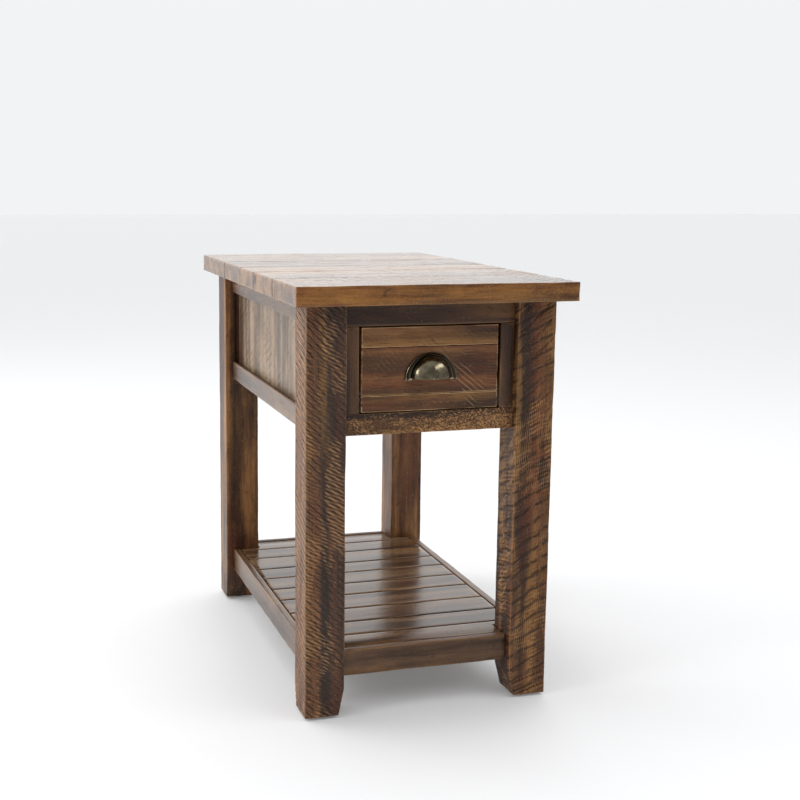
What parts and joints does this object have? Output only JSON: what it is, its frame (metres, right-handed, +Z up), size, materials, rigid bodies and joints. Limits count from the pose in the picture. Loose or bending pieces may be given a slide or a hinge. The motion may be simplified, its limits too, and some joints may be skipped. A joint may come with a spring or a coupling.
{
  "type": "side table with drawer",
  "caption": "Narrow end table of rough-sawn stained boards on square legs, with a framed planked apron, an inset drawer with a cup pull, and a slatted lower shelf.",
  "frame": {"origin": "on the floor, at the middle of the table's footprint", "axes": "+Z up; the drawer opens towards -Y; +X is the right-hand side seen from the drawer"},
  "size_m": [0.406, 0.66, 0.61],
  "materials": {
    "top_boards": "oiled and worn rough-sawn boards",
    "leg_wood": "stained rough-sawn wood",
    "rail_wood": "dark stained wood",
    "panel_wood": "stained planks",
    "slat_wood": "satin stained slats",
    "drawer_front_wood": "stained rough-sawn boards",
    "drawer_box_wood": "plain lacquered wood",
    "hidden_wood": "plain unfinished wood",
    "aged_metal": "dark aged brass, rubbed bright on its edges",
    "slide_steel": "zinc plated",
    "screw_steel": "plain",
    "glide_plastic": "matt"
  },
  "bodies": {
    "table_frame": {"top_board_1": "top_boards", "top_board_2": "top_boards", "top_board_3": "top_boards", "top_board_4": "top_boards", "top_board_5": "top_boards", "top_batten_left": "hidden_wood", "top_batten_right": "hidden_wood", "side_panel_left": "panel_wood", "side_panel_right": "panel_wood", "rear_panel": "panel_wood", "front_top_rail": "rail_wood", "front_bottom_rail": "rail_wood", "rear_top_rail": "rail_wood", "rear_bottom_rail": "rail_wood", "left_top_rail": "rail_wood", "left_bottom_rail": "rail_wood", "right_top_rail": "rail_wood", "right_bottom_rail": "rail_wood", "front_stile_left": "rail_wood", "front_stile_right": "rail_wood", "shelf_front_rail": "rail_wood", "shelf_rear_rail": "rail_wood", "shelf_left_rail": "rail_wood", "shelf_right_rail": "rail_wood", "shelf_slat_1": "slat_wood", "shelf_slat_2": "slat_wood", "shelf_slat_3": "slat_wood", "shelf_slat_4": "slat_wood", "shelf_slat_5": "slat_wood", "shelf_slat_6": "slat_wood", "shelf_slat_7": "slat_wood", "shelf_slat_8": "slat_wood", "shelf_slat_9": "slat_wood", "shelf_slat_10": "slat_wood", "leg_front_left": "leg_wood", "leg_front_right": "leg_wood", "leg_rear_left": "leg_wood", "leg_rear_right": "leg_wood", "glide_front_left": "glide_plastic", "glide_front_right": "glide_plastic", "glide_rear_left": "glide_plastic", "glide_rear_right": "glide_plastic", "slide_bearer_left": "hidden_wood", "slide_bearer_right": "hidden_wood", "slide_outer_left": "slide_steel", "slide_outer_right": "slide_steel"},
    "drawer": {"drawer_front": "drawer_front_wood", "drawer_box_front": "drawer_box_wood", "drawer_box_rear": "drawer_box_wood", "drawer_side_left": "drawer_box_wood", "drawer_side_right": "drawer_box_wood", "drawer_bottom": "drawer_box_wood", "slide_inner_left": "slide_steel", "slide_inner_right": "slide_steel", "cup_pull": "aged_metal", "pull_screw_left": "screw_steel", "pull_screw_right": "screw_steel"},
    "slide_middle_left": {"slide_middle_left": "slide_steel"},
    "slide_middle_right": {"slide_middle_right": "slide_steel"}
  },
  "joints": [
    {"name": "drawer_slide", "type": "slide", "parent": "table_frame", "child": "drawer", "axis": [0, -1, 0], "range_m": [0, 0.448]},
    {"name": "left_middle_slide", "type": "slide", "parent": "table_frame", "child": "slide_middle_left", "axis": [0, -1, 0], "range_m": [0, 0.224]},
    {"name": "right_middle_slide", "type": "slide", "parent": "table_frame", "child": "slide_middle_right", "axis": [0, -1, 0], "range_m": [0, 0.224]}
  ],
  "couplings": [
    {"joint": "left_middle_slide", "follows": "drawer_slide", "ratio": 0.5},
    {"joint": "right_middle_slide", "follows": "drawer_slide", "ratio": 0.5}
  ]
}
